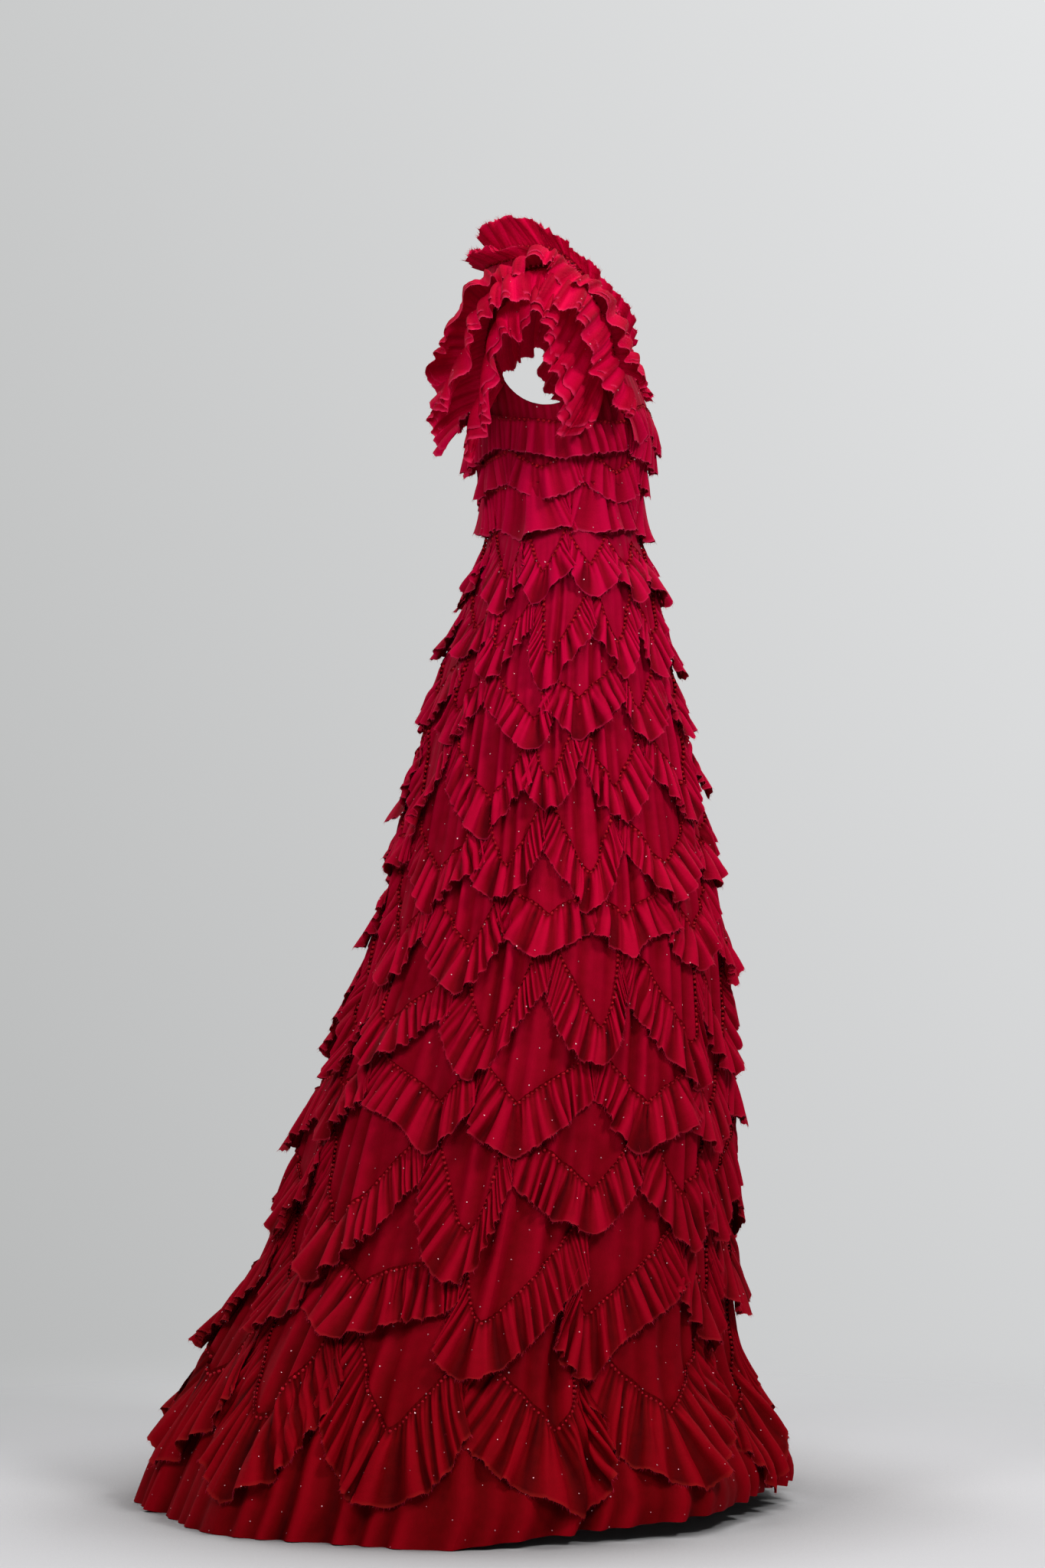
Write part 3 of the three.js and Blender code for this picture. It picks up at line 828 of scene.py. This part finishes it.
sleeveTiers = {
    "sleeve_lower": {
        "waves": 4, "wave": 8, "bulge": 6, "flutePitch": 21, "fluteHeight": 6.6, "spreads": 1.3,
        "seam": [(60, 1366), (50, 1414), (54, 1466), (80, 1496), (112, 1474), (129, 1424), (125, 1372)],
        "freeEdge": [(160, -58, 1318), (190, -22, 1322), (210, -14, 1400), (218, 8, 1450),
                     (212, 50, 1432), (198, 76, 1360), (158, 108, 1262)],
    },
    "sleeve_middle": {
        "waves": 3, "wave": 9, "bulge": 12, "flutePitch": 23, "fluteHeight": 7.2, "spreads": 1.3,
        "seam": [(52, 1354), (42, 1408), (47, 1478), (78, 1506), (118, 1486), (138, 1424), (134, 1352)],
        "freeEdge": [(146, -108, 1322), (182, -72, 1378), (208, -36, 1446), (212, 12, 1478),
                     (202, 66, 1456), (184, 116, 1380), (146, 150, 1300)],
    },
    "sleeve_upper": {
        "waves": 4, "wave": 9, "bulge": 14, "flutePitch": 24, "fluteHeight": 7.2, "spreads": 1.2,
        "seam": [(42, 1386), (36, 1440), (40, 1486), (74, 1516), (126, 1494), (146, 1440), (142, 1384)],
        "freeEdge": [(118, -124, 1360), (152, -88, 1438), (174, -36, 1494), (180, 12, 1514),
                     (172, 66, 1498), (154, 122, 1440), (124, 152, 1362)],
    },
}


def throughPoints(points, share):
    # a centripetal spline through the points, at shares 0 to 1 of its stretches
    points = np.array(points, float)
    padded = np.concatenate([[2 * points[0] - points[1]], points, [2 * points[-1] - points[-2]]])
    along = np.clip(share, 0, 1) * (len(points) - 1)
    i = np.minimum(along.astype(int), len(points) - 2)
    t = (along - i)[..., None]
    p = [padded[i + k] for k in range(4)]
    gaps = [np.sqrt(np.linalg.norm(p[k + 1] - p[k], axis=-1, keepdims=True)) for k in range(3)]
    slopeIn = (p[1] - p[0]) / gaps[0] - (p[2] - p[0]) / (gaps[0] + gaps[1]) + (p[2] - p[1]) / gaps[1]
    slopeOut = (p[2] - p[1]) / gaps[1] - (p[3] - p[1]) / (gaps[1] + gaps[2]) + (p[3] - p[2]) / gaps[2]
    slopeIn, slopeOut = slopeIn * gaps[1], slopeOut * gaps[1]
    return ((2 * t**3 - 3 * t**2 + 1) * p[1] + (t**3 - 2 * t**2 + t) * slopeIn
            + (3 * t**2 - 2 * t**3) * p[2] + (t**3 - t**2) * slopeOut)


tierHang = {
    "seamLift": 2.5,
    "edgeStep": 0.01,
    "endShare": 0.1,  # of its length, where it grows shorter at each end
    "endFall": 0.72,
    "room": (2, 14),  # under its seam, and what its free edge has more
}
# the second layer of net lies behind the first, closer at the seam, and shows below it
underLayer = {"longer": 1.13, "behind": 4, "seamBehind": 1.0}


def hungTier(name, tier, side, ring, seed, under=False):
    flat = [(degrees, 0, height) for degrees, height in tier["seam"]]
    longer = underLayer["longer"] if under else 1

    def base(share, fall, second=under):
        along = 1 - np.abs(2 * share - 1) if ring else share
        hand = np.where(ring & (share > 0.5), -side, side)
        seamAt = throughPoints(flat, along)
        down = np.clip(fall, 0, 1)
        lift = tierHang["seamLift"] + headerLift(fall)
        seam = offSkin(hand * np.radians(seamAt[..., 0]), seamAt[..., 2], lift)
        free = throughPoints(tier["freeEdge"], along)
        edge = throughPoints(tier["freeEdge"], np.minimum(along + tierHang["edgeStep"], 1))
        edge = edge - throughPoints(tier["freeEdge"], np.maximum(along - tierHang["edgeStep"], 0))
        free[..., 0] *= hand
        edge[..., 0] *= hand
        away = unit(np.cross(free - seam, edge)) * hand[..., None]
        ends = 1 if ring else np.sin(math.pi * np.clip(share, 0, 1)) ** 0.5
        wave = tier["wave"] * np.cos(turn * tier["waves"] * share) * down * ends
        move = 4 * tier["bulge"] * down * (1 - down) + wave
        inward = np.clip(np.minimum(share, 1 - share) / tierHang["endShare"], 0, 1) ** 0.5
        short = 1 if ring else tierHang["endFall"] + (1 - tierHang["endFall"]) * inward
        if second:
            move = move - underLayer["seamBehind"] - underLayer["behind"] * down
        point = seam + (free - seam) * (fall * short * longer)[..., None] + away * move[..., None]
        least, more = tierHang["room"]
        return point, least + more * down + 0 * share

    # both layers take the length of the tier's seam, so their gathers and flutes agree
    line = base(np.linspace(0, 1, 400)[None, :], np.zeros((1, 1)), False)[0][0]
    length = float(distances(line)[-1]) * tier["spreads"]
    top, foot = base(np.linspace(0, 1, 60)[None, :], np.array([[0.0], [1.0]]))[0]
    depth = float(np.mean(np.linalg.norm(foot - top, axis=1)))
    made = gathered(base, length, depth, np.random.default_rng(seed), ring, tier=tier)
    ruffleSheet(name, "shoulders", made, sleeveNet, ring, side < 0, under)
    if not under:
        seamLines["shoulders"].append(line[::4])


for seed, (name, tier) in enumerate(neckTiers.items(), 31):
    hungTier(name, tier, 1, True, seed)
    hungTier(name, tier, 1, True, seed, True)
for seed, (name, tier) in enumerate(sleeveTiers.items(), 41):
    for side, hand, place in (("_left", 1, seed), ("_right", -1, seed + 10)):
        hungTier(name + side, tier, hand, False, place)
        hungTier(name + side, tier, hand, False, place, True)
print("gown: collar and shoulders gathered")


dotTrim = {
    "sizes": {"Spacing": 25, "Radius": 0.85, "Thickness": 0.4, "Lift": 0.5},
    "scales": (0.6, 1.15),
    "mostPerSquareMetre": 1800,
}


def treeWith(name, **inputs):
    # a tree with named inputs, and what comes in by them
    tree = bpy.data.node_groups.new(name, "GeometryNodeTree")
    inputs = {"Geometry": "Geometry", **inputs, "Seed": "Int", "Material": "Material"}
    for label, kind in inputs.items():
        tree.interface.new_socket(label, in_out="INPUT", socket_type="NodeSocket" + kind)
    tree.interface.new_socket("Geometry", in_out="OUTPUT", socket_type="NodeSocketGeometry")
    return tree, addNode(tree, "NodeGroupInput").outputs


def unevenScale(tree, given, low, high):
    return addNode(tree, "FunctionNodeRandomValue", {"data_type": "FLOAT"},
                   {"Seed": given["Seed"]}, {2: low, 3: high}).outputs[1]


def finishTree(tree, given, links, smooth=False):
    # one instance on every point, made real and given its material
    instances = addNode(tree, "GeometryNodeInstanceOnPoints", links=links)
    real = addNode(tree, "GeometryNodeRealizeInstances", links={0: instances.outputs[0]})
    if smooth:
        real = addNode(tree, "GeometryNodeSetShadeSmooth", links={0: real.outputs[0]})
    painted = addNode(tree, "GeometryNodeSetMaterial",
                      links={"Geometry": real.outputs[0], "Material": given["Material"]})
    addNode(tree, "NodeGroupOutput", links={0: painted.outputs[0]})
    return tree


def grown(name, source, tree, values):
    # runs the tree on the source, and keeps what it makes as a plain mesh in the source's place
    modifier = source.modifiers.new("grow", "NODES")
    modifier.node_group = tree
    for socket in tree.interface.items_tree:
        if socket.in_out == "INPUT" and socket.name in values:
            modifier[socket.identifier] = values[socket.name]
    ready = source.evaluated_get(bpy.context.evaluated_depsgraph_get())
    mesh = bpy.data.meshes.new_from_object(ready)
    mesh.name = name
    source.modifiers.remove(modifier)
    piece = placed(name, mesh)
    bpy.data.objects.remove(source)
    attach(piece, "root")
    print("gown:", name, len(mesh.polygons), "faces")


def dotTree():
    tree, given = treeWith("dots_on_net", **dict.fromkeys(dotTrim["sizes"], "Float"))
    scatter = addNode(tree, "GeometryNodeDistributePointsOnFaces", {"distribute_method": "POISSON"},
                      {"Mesh": given["Geometry"], "Distance Min": given["Spacing"],
                       "Seed": given["Seed"]}, {"Density Max": dotTrim["mostPerSquareMetre"]})
    flake = addNode(tree, "GeometryNodeMeshCylinder", {"fill_type": "TRIANGLE_FAN"},
                    {"Radius": given["Radius"], "Depth": given["Thickness"]}, {"Vertices": 6})
    rise = addNode(tree, "ShaderNodeVectorMath", {"operation": "SCALE"},
                   {0: scatter.outputs["Normal"], 3: given["Lift"]})
    lifted = addNode(tree, "GeometryNodeSetPosition",
                     links={"Geometry": scatter.outputs["Points"], "Offset": rise.outputs[0]})
    return finishTree(tree, given, {
        "Points": lifted.outputs[0], "Instance": flake.outputs["Mesh"],
        "Rotation": scatter.outputs["Rotation"],
        "Scale": unevenScale(tree, given, *dotTrim["scales"]),
    })


def joined(name, parts):
    # one passing mesh of several pieces, for a tree to read
    verts, faces, start = [], [], 0
    for part in parts:
        verts.extend(v.co[:] for v in part.data.vertices)
        faces.extend([start + k for k in face.vertices] for face in part.data.polygons)
        start = len(verts)
    mesh = bpy.data.meshes.new(name)
    mesh.from_pydata(verts, [], faces)
    return placed(name, mesh)


def sprinkleDots():
    tree = dotTree()
    groups = {
        "skirt_dots": (skirtPanels, "skirt_tulle"),
        "bodice_dots": (ruffles["bodice"] + bodicePanels, "bodice_tulle"),
        "skirt_ruffle_dots": (ruffles["skirt"], "ruffle_tulle"),
        "shoulder_dots": (ruffles["shoulders"], "ruffle_tulle"),
    }
    for seed, (name, (parts, slot)) in enumerate(groups.items(), 3):
        sizes = {label: size / 1000 for label, size in dotTrim["sizes"].items()}
        grown(name, joined(name + "_source", parts), tree,
              {**sizes, "Seed": seed, "Material": flakes})


sprinkleDots()

puckerSizes = {"pitch": 6.5, "length": 2.6, "width": 2.6, "scales": (0.7, 1.2)}


def puckerTree():
    tree, given = treeWith("puckers_on_seam", Pitch="Float", Size="Vector")
    points = addNode(tree, "GeometryNodeCurveToPoints", {"mode": "LENGTH"},
                     {"Curve": given["Geometry"], "Length": given["Pitch"]})
    ball = addNode(tree, "GeometryNodeMeshIcoSphere", values={"Radius": 1, "Subdivisions": 1})
    size = addNode(tree, "ShaderNodeVectorMath", {"operation": "SCALE"},
                   {0: given["Size"], 3: unevenScale(tree, given, *puckerSizes["scales"])})
    return finishTree(tree, given, {
        "Points": points.outputs["Points"], "Instance": ball.outputs["Mesh"],
        "Rotation": points.outputs["Rotation"], "Scale": size.outputs[0],
    }, smooth=True)


def sewPuckers():
    tree = puckerTree()
    long, wide = puckerSizes["length"] / 1000, puckerSizes["width"] / 1000
    for seed, (part, lines) in enumerate(seamLines.items(), 7):
        data = bpy.data.curves.new(part + "_seams", "CURVE")
        data.dimensions = "3D"
        for line in lines:
            spline = data.splines.new("POLY")
            points = toRow(line)
            spline.points.add(len(points) - 1)
            spline.points.foreach_set("co", np.c_[points, np.ones(len(points))].ravel())
        source = placed(part + "_seams", data)
        grown(part + "_gathering", source, tree, {
            "Pitch": puckerSizes["pitch"] / 1000, "Size": (long, wide, wide), "Seed": seed,
            "Material": packedNet,
        })


sewPuckers()

# Raw edges: net isn't hemmed, so cut threads stand out along every free edge.
frayTrim = {"pitch": 2.4, "length": 4.5, "width": 0.35, "spreadDegrees": 32, "scales": (0.3, 1.3)}


def frayTree():
    tree, given = treeWith("threads_on_edge", Length="Float", Width="Float", Spread="Float")
    points = addNode(tree, "GeometryNodeMeshToPoints", links={"Mesh": given["Geometry"]})
    way = addNode(tree, "GeometryNodeInputNamedAttribute", {"data_type": "FLOAT_VECTOR"},
                  values={0: "wayOut"})
    aimed = addNode(tree, "FunctionNodeAlignRotationToVector", {"axis": "Z"},
                    {"Vector": way.outputs[0]})
    lowest = addNode(tree, "ShaderNodeMath", {"operation": "MULTIPLY"}, {0: given["Spread"]}, {1: -1})
    tilt = addNode(tree, "FunctionNodeRandomValue", {"data_type": "FLOAT_VECTOR"},
                   {"Min": lowest.outputs[0], "Max": given["Spread"], "Seed": given["Seed"]})
    leaning = addNode(tree, "FunctionNodeEulerToRotation", links={0: tilt.outputs[0]})
    turned = addNode(tree, "FunctionNodeRotateRotation", {"rotation_space": "LOCAL"},
                     {0: aimed.outputs[0], 1: leaning.outputs[0]})
    thread = addNode(tree, "GeometryNodeMeshCone", {"fill_type": "NONE"},
                     {"Radius Bottom": given["Width"], "Depth": given["Length"]},
                     {"Vertices": 3, "Radius Top": 0})
    return finishTree(tree, given, {
        "Points": points.outputs[0], "Instance": thread.outputs["Mesh"],
        "Rotation": turned.outputs[0], "Scale": unevenScale(tree, given, *frayTrim["scales"]),
    })


def frayEdges():
    tree = frayTree()
    for seed, (part, edges) in enumerate(rawEdges.items(), 17):
        places, ways = [], []
        for line, way in edges:
            run = distances(line)
            at = np.arange(0, run[-1], frayTrim["pitch"])
            for values, along in ((places, line), (ways, way)):
                values.append(np.stack([np.interp(at, run, along[:, k]) for k in range(3)], 1))
        mesh = bpy.data.meshes.new(part + "_edges")
        mesh.from_pydata(toRow(np.concatenate(places)).tolist(), [], [])
        layer = mesh.attributes.new("wayOut", "FLOAT_VECTOR", "POINT")
        layer.data.foreach_set("vector", unit(np.concatenate(ways)).astype(np.float32).ravel())
        source = placed(part + "_edges", mesh)
        grown(part + "_fray", source, tree, {
            "Length": frayTrim["length"] / 1000, "Width": frayTrim["width"] / 2000,
            "Spread": math.radians(frayTrim["spreadDegrees"]), "Seed": seed,
            "Material": cutThreads,
        })


frayEdges()

studio = {
    "floor": ("#7C7B7C", "#B4B3B4", "#D1D1D3"),
    "shadeSteps": (0.5, 0.82, 0.98),  # how open to the room the paper is for each colour
    "shadeReach": 0.4,
    "worldFront": "#E6E7E8",
    "worldBack": "#C7C8C8",
    "worldTurn": (-0.12, 0.12),  # of the way from front to back, where the one becomes the other
    "worldFoot": ("#FFFFFF", "#E7E7E7", "#FFFFFF"),  # the backdrop is dimmest at its foot
    "footSteps": (0, 0.6, 1),
    "footSpan": (-0.6, 0.15),
    "worldStrength": 1.0,
    "worldLight": 0.22,
    "floorRadius": 9,
    "floorSides": 96,
    "roughness": 0.9,
    "floorFade": (0.55, 1.9),
    "lights": [  # place, aimed at, size, watts
        ((-2.3, -2.1, 1.9), (0, 0, -0.1), 0.9, 88),
        ((-3.4, 0.4, 1.2), (0, 0, -0.1), 1.4, 38),
        ((-2.2, 1.7, 0.8), (0, 0.1, -0.1), 0.9, 26),
        ((0.3, -0.4, 2.6), (0, 0, -0.3), 1.6, 46),
        ((3.0, 3.2, 1.8), (0, 0, -0.6), 2.4, 60),
        ((3.4, -2.4, 1.4), (0, 0, -0.6), 2.0, 40),
    ],
}


def floorMaterial():
    # pale paper that fades into the backdrop a few steps away
    material, tree, shader, place = newMaterial("studio_paper", {"Roughness": studio["roughness"]})
    # less of the room's light reaches the paper close to the hem
    room = addNode(tree, "ShaderNodeAmbientOcclusion", {"samples": 8},
                   values={"Distance": studio["shadeReach"]})
    shade = colourSteps(tree, room.outputs["AO"], zip(studio["shadeSteps"], studio["floor"]))
    tree.links.new(shade, shader.inputs["Base Color"])
    far = addNode(tree, "ShaderNodeVectorMath", {"operation": "DISTANCE"},
                  {0: place}, {1: (0, 0, cadLow.z)}).outputs["Value"]
    fade = mapped(tree, far, studio["floorFade"], 1, 0, {"interpolation_type": "SMOOTHSTEP"})
    tree.links.new(fade, shader.inputs["Alpha"])
    return material


def buildStudio():
    size, sides = studio["floorRadius"], studio["floorSides"]
    mesh = bpy.data.meshes.new("studio_floor")
    low = cadLow.z - 0.0005
    ring = [(size * math.cos(turn * k / sides), size * math.sin(turn * k / sides), low)
            for k in range(sides)]
    mesh.from_pydata(ring, [], [list(range(sides))])
    mesh.materials.append(floorMaterial())
    placed("studio_floor", mesh)
    world = bpy.data.worlds.new("studio")
    world.use_nodes = True
    tree = world.node_tree
    background = tree.nodes["Background"]
    # the paper backdrop is lighter towards the gown's front, where the window of light is
    place = addNode(tree, "ShaderNodeTexCoord")
    parts = addNode(tree, "ShaderNodeSeparateXYZ", links={0: place.outputs["Generated"]})
    across = mapped(tree, parts.outputs[1], studio["worldTurn"])
    paper = colourSteps(tree, across, [(0, studio["worldFront"]), (1, studio["worldBack"])])
    tree.links.new(paper, background.inputs[0])
    # the room is dimmer than its backdrop looks
    ray = addNode(tree, "ShaderNodeLightPath").outputs["Is Camera Ray"]
    strength = mapped(tree, ray, (0, 1), studio["worldLight"], studio["worldStrength"])
    upward = mapped(tree, parts.outputs[2], studio["footSpan"])
    foot = colourSteps(tree, upward, zip(studio["footSteps"], studio["worldFoot"]))
    dimmed = addNode(tree, "ShaderNodeMath", {"operation": "MULTIPLY"}, {0: strength, 1: foot})
    tree.links.new(dimmed.outputs[0], background.inputs[1])
    bpy.context.scene.world = world
    bpy.context.scene.view_settings.view_transform = "Standard"
    for k, (place, aim, size, watts) in enumerate(studio["lights"]):
        data = bpy.data.lights.new("softbox_%d" % k, "AREA")
        data.shape, data.size, data.energy = "DISK", size, watts
        light = placed("softbox_%d" % k, data)
        light.location = place
        x, y, z = np.array(aim) - np.array(place)
        light.rotation_euler = (math.atan2(math.hypot(x, y), -z), 0, math.atan2(y, x) - math.pi / 2)


buildStudio()
print("gown: studio lit")
